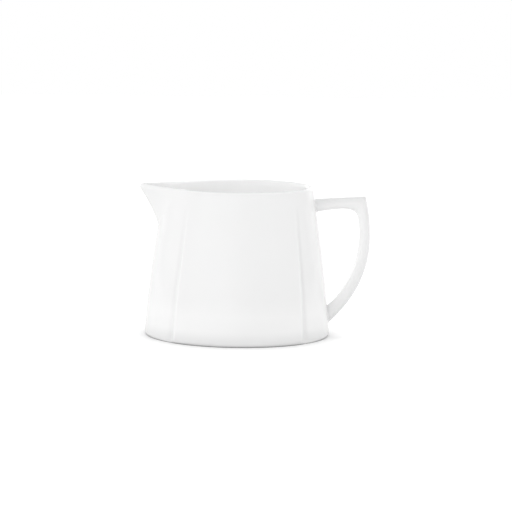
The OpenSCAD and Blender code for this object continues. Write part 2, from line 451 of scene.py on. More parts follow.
@dataclass(frozen=True)
class JugForm:
    """Driving sizes of the wall and beak in millimetres and degrees, and the curves that follow from them."""

    base_d: float = 110.0
    rim_z: float = 88.7
    mouth_d: float = 88.0
    foot_lean: float = 3.8
    rim_lean: float = 8.5
    wall_t: float = 3.5
    floor_t: float = 4.0
    floor_fillet: float = 12.0
    foot_w: float = 3.0
    foot_h: float = 2.2
    foot_round: float = 2.0
    spout_reach: float = 60.2
    spout_h: float = 23.2
    keel_lean: float = 18.3
    beak_spread: float = 36.0
    tip_angle: float = 3.5
    tip_t: float = 4.5
    channel_narrowing: float = 3.0
    tip_rise: float = 0.9
    window_foot_w: float = 20.0
    window_rim_w: float = 60.0
    window_below_keel: float = 3.5

    @property
    def keel_z(self) -> float:
        """Height at which the keel of the beak leaves the wall."""
        return self.rim_z - self.spout_h

    @property
    def window_z(self) -> float:
        """Height of the lower edge of the window that the spout is set into."""
        return self.keel_z - self.window_below_keel

    @property
    def floor_z(self) -> float:
        """Height of the floor inside."""
        return self.foot_h + self.floor_t

    @property
    def foot_out_r(self) -> float:
        """Outer radius of the flat under the foot."""
        return float(self.wall_r(self.foot_round)) - self.foot_round

    @property
    def foot_in_r(self) -> float:
        """Inner radius of the flat under the foot."""
        return self.foot_out_r - self.foot_w

    def wall_r(self, z: Any) -> Any:
        """Finds the radius of the outside of the round wall.

        Args:
            z: Heights.

        Returns:
            One radius for each height.
        """
        base_r, drop = self.base_d / 2, (self.mouth_d - self.base_d) / 2
        at_foot = -self.rim_z * math.tan(math.radians(self.foot_lean))
        at_rim = -self.rim_z * math.tan(math.radians(self.rim_lean))
        t = np.asarray(z, float) / self.rim_z
        bent = 3 * drop - 2 * at_foot - at_rim
        eased = at_foot + at_rim - 2 * drop
        return base_r + at_foot * t + bent * t**2 + eased * t**3

    def wall_slope(self, z: Any) -> Any:
        """Loss of the wall's radius over the one millimetre of height round each height."""
        return self.wall_r(z - 0.5) - self.wall_r(z + 0.5)

    def window_half(self, z: Any) -> Any:
        """Half the width of the spout's window at some heights."""
        up = (np.asarray(z, float) - self.window_z) / (self.rim_z - self.window_z)
        return (self.window_foot_w + (self.window_rim_w - self.window_foot_w) * up) / 2

    def window_angle(self, z: float) -> float:
        """Angle off the spout of the side of its window at a height, in degrees."""
        return math.degrees(math.asin(self.window_half(z) / self.wall_r(z)))

    def keel_x(self, z: Any) -> Any:
        """Finds the reach of the beak's keel from the axis.

        Args:
            z: Heights.

        Returns:
            One reach for each height.
        """
        up = np.maximum(0.0, np.asarray(z, float) - self.keel_z)
        start, slope = self.wall_r(self.keel_z), math.tan(math.radians(self.keel_lean))
        flare = self.spout_reach - start - self.spout_h * slope
        return start + up * slope + flare * (up / self.spout_h) ** 2

    def flank_angle(self, z: Any) -> Any:
        """Angle from the keel to the edge of the beak's flank at some heights."""
        return self.beak_spread * np.sqrt(np.maximum(0.0, np.asarray(z, float) - self.keel_z) / self.spout_h)

    def beak_share(self, angle: Any, z: Any) -> Any:
        """Share of the beak at a place: 1 at its tip, 0 on the round wall and below the keel."""
        up = np.clip((np.asarray(z, float) - self.keel_z) / self.spout_h, 0, 1)
        return up * np.clip(1 - np.abs(angle) / np.maximum(self.flank_angle(z), NO_ANGLE), 0, 1)

    def past_tip(self, angle: Any) -> Any:
        """Angle off the spout, counted slowly across the rounded tip."""
        return np.hypot(angle, self.tip_angle) - self.tip_angle

    def drawn_out(self, angle: Any, round_r: Any, reach: Any, flank: Any) -> Any:
        """Draws a circle out to a beak with hollow flanks.

        Args:
            angle: Angles off the spout.
            round_r: Radius of the circle.
            reach: Reach of the beak.
            flank: Angle at which its flank meets the circle.

        Returns:
            Distances from the axis.
        """
        narrow = np.maximum(flank, NO_ANGLE)
        share = np.clip(1 - self.past_tip(angle) / self.past_tip(narrow), 0, 1)
        drawn = round_r + (reach - round_r) * share**2
        return np.where((reach <= round_r) | (np.abs(angle) >= flank), round_r, drawn)

    def outside_r(self, angle: Any, z: Any) -> Any:
        """Distance of the outside from the axis, at angles off the spout."""
        return self.drawn_out(angle, self.wall_r(z), self.keel_x(z), self.flank_angle(z))

    def inside_r(self, angle: Any, z: Any) -> Any:
        """Distance of the inside from the axis, at angles off the spout."""
        flank = self.flank_angle(z) - self.channel_narrowing
        return self.drawn_out(angle, self.wall_r(z) - self.wall_t, self.keel_x(z) - self.tip_t, flank)


@dataclass
class Pleats:
    """Four pleats round the wall, each a fine ridge with a falling flank and a long run back out."""

    depth: float = 2.0
    angle: float = 47.2
    top: float = 80.0
    lean: float = 2.4
    flank: float = 20.0
    reach: float = 30.0
    run_out: float = 2.0
    ridge: float = 0.25
    bend: float = 0.35
    # Painted shade beside each ridge and a painted highlight on its crest, both fading up the wall; the
    # spout's side gets less shade than the handle's.
    crease_shade: float = 0.85
    spout_crease_shade: float = 0.4
    crease_shade_start: float = 2.6
    crease_shade_end: float = 8.5
    crease_shade_top: float = 0.4
    ridge_highlight: float = 0.4
    ridge_highlight_end: float = 1.3
    shade_fade: float = 0.5

    def sizes(self) -> dict[str, float]:
        """Gathers the named inputs of the rule.

        Returns:
            Values by name, with lengths in metres and angles in radians.
        """
        return {
            "Depth": self.depth * MM,
            "Ridge Place": math.radians(self.angle),
            "Lean": math.radians(self.lean),
            "Flank Fall": math.tan(math.radians(self.flank)),
            "Ridge Round": self.ridge * MM,
            "Bend": self.bend,
            "Reach": self.reach * MM,
            "Run Out": self.run_out,
            "Fade Height": self.top * MM,
            "Crease Shade": self.crease_shade,
            "Spout Crease Shade": self.spout_crease_shade,
            "Crease Shade Start": self.crease_shade_start * MM,
            "Crease Shade End": self.crease_shade_end * MM,
            "Crease Shade Top": self.crease_shade_top,
            "Ridge Highlight": self.ridge_highlight,
            "Ridge Highlight End": self.ridge_highlight_end * MM,
            "Shade Fade": self.shade_fade,
        }

    def off_ridge(self, nodes: NodeWriter, sizes: Any, place: Any, fade: Socket) -> Socket:
        """Measures the angle from the nearest ridge, which leans towards the handle as it rises.

        Args:
            nodes: Tree of the rule.
            sizes: Sockets of its sizes.
            place: Sockets of a point's three coordinates.
            fade: Socket that falls from 1 at the foot to 0 at the top of the pleats.

        Returns:
            The socket of the angle, which grows towards the spout and towards the handle.
        """
        ahead = nodes.math("MULTIPLY", place["X"], -1.0)
        off_spout = nodes.math("ARCTAN2", nodes.math("ABSOLUTE", place["Y"]), ahead)
        leant = nodes.math("MULTIPLY", sizes["Lean"], nodes.math("SUBTRACT", 1.0, fade))
        upright = nodes.math("SUBTRACT", off_spout, leant)
        turn = nodes.math("MINIMUM", upright, nodes.math("SUBTRACT", math.pi, upright))
        return nodes.math("SUBTRACT", sizes["Ridge Place"], turn)

    def sunk(self, nodes: NodeWriter, sizes: Any, run: Socket, fade: Socket) -> Socket:
        """Works out how far the wall sinks: down the flank of the ridge, then slowly back out.

        Args:
            nodes: Tree of the rule.
            sizes: Sockets of its sizes.
            run: Socket of the distance from the ridge.
            fade: Socket that falls from 1 at the foot to 0 at the top of the pleats.

        Returns:
            The socket of the depth.
        """
        fall = nodes.math("MULTIPLY", run, sizes["Flank Fall"])
        flank = nodes.math("SMOOTH_MAX", fall, 0.0, sizes["Ridge Round"])
        depth = nodes.math("MULTIPLY", sizes["Depth"], fade)
        out = nodes.math("POWER", nodes.ramp(run, 0.0, sizes["Reach"], 1.0, 0.0), sizes["Run Out"])
        back = nodes.math("MULTIPLY", depth, out)
        return nodes.math("SMOOTH_MIN", flank, back, nodes.math("MULTIPLY", depth, sizes["Bend"]))

    def crease_shading(self, nodes: NodeWriter, sizes: Any, run: Socket, fade: Socket, crease_shade: Socket) -> Socket:
        """Works out the painted shade beside a ridge and the painted highlight on its crest.

        Args:
            nodes: Tree of the rule.
            sizes: Sockets of its sizes.
            run: Socket of the distance from the ridge.
            fade: Socket that falls from 1 at the foot to 0 at the top of the pleats.
            crease_shade: Socket of the strength of the painted shade on this side of the jug.

        Returns:
            The socket of the painted shade, less the painted highlight.
        """
        far = nodes.math("MULTIPLY", sizes["Crease Shade End"], nodes.ramp(fade, 0.0, 1.0, sizes["Crease Shade Top"], 1.0))
        shade_rise = nodes.ramp(run, 0.0, sizes["Crease Shade Start"], 0.0, 1.0, smooth=True)
        shade_fall = nodes.ramp(run, sizes["Crease Shade Start"], far, 1.0, 0.0, smooth=True)
        lasting = nodes.math("POWER", fade, sizes["Shade Fade"])
        crease_shaded = nodes.math("MULTIPLY", nodes.math("MULTIPLY", shade_rise, shade_fall), lasting)
        crest = nodes.ramp(nodes.math("ABSOLUTE", run), 0.0, sizes["Ridge Highlight End"], 1.0, 0.0, smooth=True)
        highlighted = nodes.math("MULTIPLY", nodes.math("MULTIPLY", crest, lasting), sizes["Ridge Highlight"])
        return nodes.math("SUBTRACT", nodes.math("MULTIPLY", crease_shaded, crease_shade), highlighted)

    def tree(self) -> bpy.types.NodeTree:
        """Builds the rule that sinks the wall beside each ridge, paints shade there and paints a highlight on
        the ridge.

        Returns:
            The geometry node tree.
        """
        tree = bpy.data.node_groups.new("pleats", "GeometryNodeTree")
        nodes = NodeWriter(tree)
        sizes = nodes.open_rule(self.sizes())
        point = nodes.add("GeometryNodeInputPosition").outputs[0]
        place = nodes.add("ShaderNodeSeparateXYZ", {0: point}).outputs
        flat = nodes.add("ShaderNodeCombineXYZ", {"X": place["X"], "Y": place["Y"]}).outputs[0]
        radius = nodes.add("ShaderNodeVectorMath", {0: flat}, operation="LENGTH").outputs["Value"]
        fade = nodes.ramp(place["Z"], 0.0, sizes["Fade Height"], 1.0, 0.0)
        run = nodes.math("MULTIPLY", self.off_ridge(nodes, sizes, place, fade), radius)
        share = nodes.stored(PLEAT_SHARE)
        depth = self.sunk(nodes, sizes, run, fade)
        inward = nodes.math("MULTIPLY", depth, nodes.math("MULTIPLY", share, -1.0))
        outward = nodes.add("ShaderNodeVectorMath", {0: flat}, operation="NORMALIZE").outputs[0]
        step = nodes.add("ShaderNodeVectorMath", {0: outward, "Scale": inward}, operation="SCALE").outputs[0]
        moved = nodes.add("GeometryNodeSetPosition", {"Geometry": sizes["Piece"], "Offset": step}).outputs[0]
        # Painted shade: weaker on the spout's side than on the handle's side.
        crease_shade = nodes.ramp(place["X"], 0.0, MM, sizes["Spout Crease Shade"], sizes["Crease Shade"])
        more_shade = nodes.math("MULTIPLY", self.crease_shading(nodes, sizes, run, fade, crease_shade), share)
        glaze = nodes.math("ADD", nodes.stored(GLAZE_AND_SHADE), more_shade)
        with_shade = nodes.add(
            "GeometryNodeStoreNamedAttribute",
            {"Geometry": moved, "Name": GLAZE_AND_SHADE, "Value": glaze},
            data_type="FLOAT",
            domain="POINT",
        )
        nodes.close_rule(with_shade.outputs[0], sizes["Finish"])
        return tree

    def press(self, skin: bpy.types.Mesh, finish: bpy.types.Material) -> bpy.types.Mesh:
        """Presses the pleats into a wall.

        Args:
            skin: Mesh of the wall, with its share of the pleats on each point.
            finish: Material of the wall.

        Returns:
            The pleated mesh.
        """
        return plain_mesh("pleated_skin", skin, self.tree(), {**self.sizes(), "Finish": finish})


@dataclass
class CastShell:
    """Body and spout castings, drawn as one skin and parted along the window in the wall."""

    form: JugForm
    pleats: Pleats
    finish: bpy.types.Material
    foot_lift: float = 0.15
    pole_r: float = 6.0
    # Painted shade by height outside: darker towards the foot, lighter low on the wall, even above. Inside,
    # painted light at the rim and painted shade below and in the beak's channel.
    outside_shade: tuple[float, ...] = (0.95, 0.75, 0.35, 0.1, 0.0, 0.12, 0.26)
    outside_heights: tuple[float, ...] = (2.0, 4.0, 6.5, 8.5, 17.0, 21.0, 27.0)
    inside_shade: tuple[float, ...] = (0.0, 0.45)
    inside_depths: tuple[float, ...] = (0.0, 12.0)
    channel_shade: float = 0.9
    crest_glaze_and_highlight: float = 0.15
    floor_glaze: float = 0.2
    under_glaze: float = 0.3
    beak_columns: int = 44
    beak_crowding: float = 1.5
    wall_columns: int = 132
    fine_reach: float = 1.05
    fine_step: float = 0.15
    coarse_start: float = 1.2
    coarse_end: float = 9.0
    coarse_step: float = 0.4
    lean_ease: float = 20.0
    under_rings: int = 8
    floor_rings: int = 6
    low_rows: int = 44
    window_rows: int = 36
    lip_rows: int = 24
    arc_rows: int = 10

    def __post_init__(self) -> None:
        """Works out the upright lines of the skin."""
        self.window_edge = self.form.window_angle(self.form.window_z)
        self.columns = self.column_angles()
        self.right = int(np.argmin(np.abs(self.columns - self.window_edge)))
        self.left = int(np.argmin(np.abs(self.columns + self.window_edge)))
        self.ones = np.ones_like(self.columns)

    def column_angles(self) -> Array:
        """Sets the upright lines: crowded at the keel and at the edge of each pleat.

        Returns:
            Angles off the spout, in degrees, from just past -180 to 180.
        """
        beak = self.window_edge * np.linspace(0, 1, self.beak_columns + 1) ** self.beak_crowding
        wall = np.linspace(self.window_edge, 180.0, self.wall_columns + 1)[1:]
        fine = np.arange(-self.fine_reach, self.fine_reach, self.fine_step)
        beside = np.concatenate([fine, np.arange(self.coarse_start, self.coarse_end, self.coarse_step)])
        for crease, toward in ((self.pleats.angle, -1), (180 - self.pleats.angle, 1)):
            lines = crease + toward * beside
            clear = (wall < lines.min() - self.coarse_step) | (wall > lines.max() + self.coarse_step)
            wall = np.sort(np.concatenate([wall[clear], lines]))
        half = np.concatenate([beak, wall])
        return np.concatenate([-half[-2:0:-1], half])

    def angles_at(self, z: float) -> Array:
        """Spreads the upright lines, so that two follow the sides of the window and others the pleats.

        Args:
            z: Height.

        Returns:
            Angles off the spout, in degrees.
        """
        first = self.window_edge
        edge = self.form.window_angle(max(z, self.form.window_z))
        size = np.abs(self.columns)
        past = edge + (size - first) * (180 - edge) / (180 - first)
        spread = np.where(size <= first, size * edge / first, past)
        leant = self.pleats.lean * min(1.0, z / self.pleats.top)
        ends = (first, first + self.lean_ease, 180 - self.lean_ease, 180)
        return np.sign(self.columns) * (spread + np.interp(size, ends, (0.0, leant, leant, 0.0)))

    def outside_shade_at(self, z: float) -> float:
        """Painted shade outside, by height: even above, lighter low on the wall and darker at the foot."""
        return float(np.interp(z, self.outside_heights, self.outside_shade))

    def inside_shade_at(self, angle: Array, z: Array) -> Array:
        """Painted shade inside: lightest at the rim, darker below and in the channel of the beak."""
        plain = np.interp(self.form.rim_z - z, self.inside_depths, self.inside_shade)
        return plain + self.channel_shade * self.form.beak_share(angle, z)

    def lip(self, angle: Array) -> tuple[Array, Array, Array]:
        """Finds how the rolled rim meets the wall.

        Args:
            angle: Angles off the spout.

        Returns:
            Tilt of the wall in radians, and the heights at which the roll starts outside and ends inside.
        """
        form = self.form
        tilt = np.arctan(form.outside_r(angle, form.rim_z - 1) - form.outside_r(angle, form.rim_z))
        lip_r = form.wall_t / 2
        return tilt, form.rim_z - lip_r * (1 - np.sin(tilt)), form.rim_z - lip_r * (1 + np.sin(tilt))

    def level_row(self, r: float, z: float, share: float, glaze: float) -> Row:
        """One level ring of points on the plain upright lines."""
        return self.columns, r * self.ones, z * self.ones, share, glaze

    def under_foot(self) -> list[Row]:
        """Rows under the jug, from the middle out to the foot of the wall.

        Returns:
            The rows.
        """
        form, rows = self.form, []
        hollow_r = form.foot_in_r - form.foot_h
        for r in np.linspace(self.pole_r, hollow_r, self.under_rings + 1)[:-1]:
            rows.append(self.level_row(r, form.foot_h, 0.0, self.under_glaze))
        for a in np.linspace(math.pi / 2, math.asin(self.foot_lift / form.foot_h), self.arc_rows):
            r, z = hollow_r + form.foot_h * math.cos(a), form.foot_h * math.sin(a)
            rows.append(self.level_row(r, z, 0.0, self.under_glaze))
        turn = math.asin(1 - self.foot_lift / form.foot_round)
        for a in np.linspace(-turn, 0.0, self.arc_rows):
            r, z = form.foot_out_r + form.foot_round * math.cos(a), form.foot_round * (1 + math.sin(a))
            share = (z - self.foot_lift) / (form.foot_round - self.foot_lift)
            rows.append(self.level_row(r, z, share, self.outside_shade_at(z)))
        return rows

    def window_steps(self) -> list[tuple[float, Array]]:
        """Sets the steps up the window, from its foot.

        Returns:
            Shares of the window's height, each with the angles of the upright lines there.
        """
        low, high = self.form.window_z, self.form.rim_z
        shares = np.arange(self.window_rows) / self.window_rows
        return [(t, self.angles_at(low + (high - low) * t)) for t in shares]

    def up_outside(self) -> list[Row]:
        """Rows up the outside, from the foot to the rolled rim.

        Returns:
            The rows.
        """
        form, rows = self.form, []
        for z in np.linspace(form.foot_round, form.window_z, self.low_rows + 1)[1:-1]:
            wall = form.wall_r(z) * self.ones
            rows.append((self.angles_at(z), wall, z * self.ones, 1.0, self.outside_shade_at(z)))
        for t, angle in self.window_steps():
            z = form.window_z + (self.lip(angle)[1] - form.window_z) * t
            rows.append((angle, form.outside_r(angle, z), z, 1.0, self.outside_shade[-1]))
        return rows

    def over_rim(self) -> list[Row]:
        """Rows over the rolled rim.

        Returns:
            The rows.
        """
        form, rows = self.form, []
        angle = self.angles_at(form.rim_z)
        tilt, out_z, in_z = self.lip(angle)
        out_r, in_r = form.outside_r(angle, out_z), form.inside_r(angle, in_z)
        lip_r, lip_w = form.wall_t / 2, (out_r - in_r) / 2 / np.cos(tilt)
        for t in np.linspace(0, 1, self.lip_rows + 1):
            a = tilt + math.pi * t
            r = (out_r + in_r) / 2 + lip_w * np.cos(a)
            z = form.rim_z - lip_r + lip_r * np.sin(a)
            # Across the roll the value runs from outside to inside; on the crest it is partly the glaze's
            # real thinning on an edge and partly a painted highlight.
            plain = self.outside_shade[-1] + (self.inside_shade_at(angle, z) - self.outside_shade[-1]) * t
            glaze = plain + (self.crest_glaze_and_highlight - plain) * math.sin(math.pi * t)
            rows.append((angle, r, z, 0.0, glaze))
        return rows

    def down_inside(self) -> list[Row]:
        """Rows down the inside, from the rolled rim over the fillet to the middle of the floor.

        Returns:
            The rows.
        """
        form, rows = self.form, []
        for t, angle in reversed(self.window_steps()):
            z = form.window_z + (self.lip(angle)[2] - form.window_z) * t
            rows.append((angle, form.inside_r(angle, z), z, 0.0, self.inside_shade_at(angle, z)))
        lean = math.atan(float(form.wall_slope(form.floor_z + form.floor_fillet)))
        fillet_top = form.floor_z + form.floor_fillet * (1 + math.sin(lean))
        fillet_x = float(form.wall_r(fillet_top)) - form.wall_t - form.floor_fillet * math.cos(lean)
        for z in np.linspace(form.window_z, fillet_top, self.low_rows)[1:-1]:
            wall = (form.wall_r(z) - form.wall_t) * self.ones
            rows.append((self.angles_at(z), wall, z * self.ones, 0.0, self.inside_shade[-1]))
        for a in np.linspace(lean, -math.pi / 2, 2 * self.arc_rows):
            r = fillet_x + form.floor_fillet * math.cos(a)
            z = form.floor_z + form.floor_fillet * (1 + math.sin(a))
            rows.append(self.level_row(r, z, 0.0, self.floor_glaze))
        for r in np.linspace(fillet_x, self.pole_r, self.floor_rings + 1)[1:]:
            rows.append(self.level_row(r, form.floor_z, 0.0, self.floor_glaze))
        return rows

    def skin(self) -> tuple[bpy.types.Mesh, Array, Array]:
        """Builds the closed skin of the castings.

        Returns:
            The pleated mesh, its four-sided faces as rows by columns, and its three-sided faces at the poles.
        """
        form, under, count = self.form, self.under_foot(), len(self.columns)
        rows = under + self.up_outside() + self.over_rim() + self.down_inside()
        self.window_row = len(under) + self.low_rows - 1
        points, share, depth = [], [], []
        for angle, r, z, pleat, glaze in rows:
            turn = np.radians(angle)
            raised = z + form.tip_rise * form.beak_share(angle, z) ** 2
            points.append(np.stack([-r * np.cos(turn), r * np.sin(turn), raised], 1))
            share.append(np.full(count, pleat))
            depth.append(np.full(count, glaze))
        poles = np.array([[0, 0, form.foot_h], [0, 0, form.floor_z]])
        low_pole = len(rows) * count
        turned_over = [0, 3, 2, 1]
        quads = ring_faces(len(rows), count)[..., turned_over]
        lowest = fan(np.arange(count), low_pole)
        highest = fan(np.arange(low_pole - count, low_pole), low_pole + 1)
        ends = np.concatenate([lowest, highest[:, ::-1]])
        faces = [*quads.reshape(-1, 4).tolist(), *ends.tolist()]
        mesh = smooth_mesh("cast_skin", np.concatenate(points + [poles]), faces)
        write_points(mesh, PLEAT_SHARE, np.concatenate(share + [np.zeros(len(poles))]))
        write_points(mesh, GLAZE_AND_SHADE, np.concatenate(depth + [[self.under_glaze, self.floor_glaze]]))
        return self.pleats.press(mesh, self.finish), quads, ends

    def seam(self) -> list[list[int]]:
        """Faces across the thickness of the wall, along both sides and the bottom of the window.

        Returns:
            Faces that close the body; reversed, they close the spout.
        """
        count = len(self.columns)
        reach = self.window_rows + self.lip_rows // 2
        crest = self.window_row + reach
        down = [(crest - d, crest + d) for d in range(reach + 1)]
        path = [(a * count + self.right, b * count + self.right) for a, b in down]
        bottom = range(self.right - 1, self.left, -1)
        path += [(down[-1][0] * count + c, down[-1][1] * count + c) for c in bottom]
        path += [(a * count + self.left, b * count + self.left) for a, b in reversed(down)]
        return [list(dict.fromkeys([a, b, d, c])) for (a, b), (c, d) in zip(path, path[1:])]

    def part(
        self, name: str, skin: bpy.types.Mesh, faces: Sequence[Face], cut: Sequence[Face]
    ) -> bpy.types.Mesh:
        """Takes one casting out of the skin, shaded as if the glaze ran on over the seam.

        Args:
            name: Name of the casting.
            skin: The whole skin.
            faces: Its faces on the skin.
            cut: Its faces across the wall.

        Returns:
            The closed mesh of the casting.
        """
        points, normals = np.zeros((2, len(skin.vertices) * 3), np.float32)
        skin.vertices.foreach_get("co", points)
        skin.vertex_normals.foreach_get("vector", normals)
        points, normals = points.reshape(-1, 3), normals.reshape(-1, 3)
        every = [*faces, *cut]
        used = np.unique(np.concatenate([np.ravel(face) for face in every]))
        number = np.full(len(points), -1)
        number[used] = np.arange(len(used))
        mesh = smooth_mesh(name, points[used] / MM, [number[list(face)] for face in every])
        write_points(mesh, GLAZE_AND_SHADE, read_points(skin, GLAZE_AND_SHADE)[used])
        mesh.polygons.foreach_set("use_smooth", [True] * len(faces) + [False] * len(cut))
        shading = []
        for face in faces:
            shading.extend(normals[list(face)].tolist())
        for face in cut:
            a, b, c = points[face[0]], points[face[1]], points[face[2]]
            flat = np.cross(b - a, c - b)
            flat = flat / max(np.linalg.norm(flat), NO_LENGTH)
            shading.extend([flat.tolist()] * len(face))
        mesh.normals_split_custom_set(shading)
        return mesh

    def build(self) -> None:
        """Makes the two castings and puts them on the jug."""
        skin, quads, ends = self.skin()
        top = self.window_row + 2 * self.window_rows + self.lip_rows
        of_spout = np.zeros(quads.shape[:2], bool)
        of_spout[self.window_row:top, self.left:self.right] = True
        seam = self.seam()
        body_faces = [*quads[~of_spout].tolist(), *ends.tolist()]
        body = self.part("jug_body", skin, body_faces, seam)
        place_piece("jug_body", body, self.finish, Slot.PORCELAIN, "body")
        spout = self.part("jug_spout", skin, quads[of_spout].tolist(), [face[::-1] for face in seam])
        place_piece("jug_spout", spout, self.finish, Slot.PORCELAIN, "spout", "spout_slip_joint")


@dataclass
class FootRing:
    """Standing ring under the foot, wiped free of glaze."""

    form: JugForm
    finish: bpy.types.Material
    shrink: float = 0.15
    height: float = 0.6
    edge: float = 0.12
    edge_steps: int = 4
    around: int = 256

    def sizes(self) -> dict[str, float]:
        """Gathers the named inputs of the rule.

        Returns:
            Lengths in metres, by name.
        """
        return {
            "Ring Radius": (self.form.foot_in_r + self.form.foot_out_r) / 2 * MM,
            "Band Width": (self.form.foot_w - 2 * self.shrink) * MM,
            "Band Height": self.height * MM,
            "Edge Radius": self.edge * MM,
        }

    def tree(self) -> bpy.types.NodeTree:
        """Builds the rule that sweeps a soft-edged band round a circle.

        Returns:
            The geometry node tree.
        """
        tree = bpy.data.node_groups.new("foot_ring", "GeometryNodeTree")
        nodes = NodeWriter(tree)
        sizes = nodes.open_rule(self.sizes())
        circle = {"Resolution": self.around, "Radius": sizes["Ring Radius"]}
        path = nodes.add("GeometryNodeCurvePrimitiveCircle", circle).outputs[0]
        oblong = {"Width": sizes["Band Width"], "Height": sizes["Band Height"]}
        band = nodes.add("GeometryNodeCurvePrimitiveQuadrilateral", oblong).outputs[0]
        rounding = {"Curve": band, "Radius": sizes["Edge Radius"], "Count": self.edge_steps}
        soft = nodes.add("GeometryNodeFilletCurve", rounding, mode="POLY").outputs[0]
        swept = nodes.add("GeometryNodeCurveToMesh", {"Curve": path, "Profile Curve": soft}).outputs[0]
        lift = nodes.add("ShaderNodeCombineXYZ", {"Z": nodes.math("DIVIDE", sizes["Band Height"], 2.0)})
        stood = nodes.add("GeometryNodeSetPosition", {"Geometry": swept, "Offset": lift.outputs[0]})
        nodes.close_rule(stood.outputs[0], sizes["Finish"])
        return tree

    def build(self) -> None:
        """Makes the ring and puts it on the jug."""
        start = bpy.data.meshes.new("ring_start")
        settings = {**self.sizes(), "Finish": self.finish}
        mesh = plain_mesh("bare_foot_ring", start, self.tree(), settings)
        place_piece("bare_foot_ring", mesh, self.finish, Slot.UNGLAZED_FOOT)


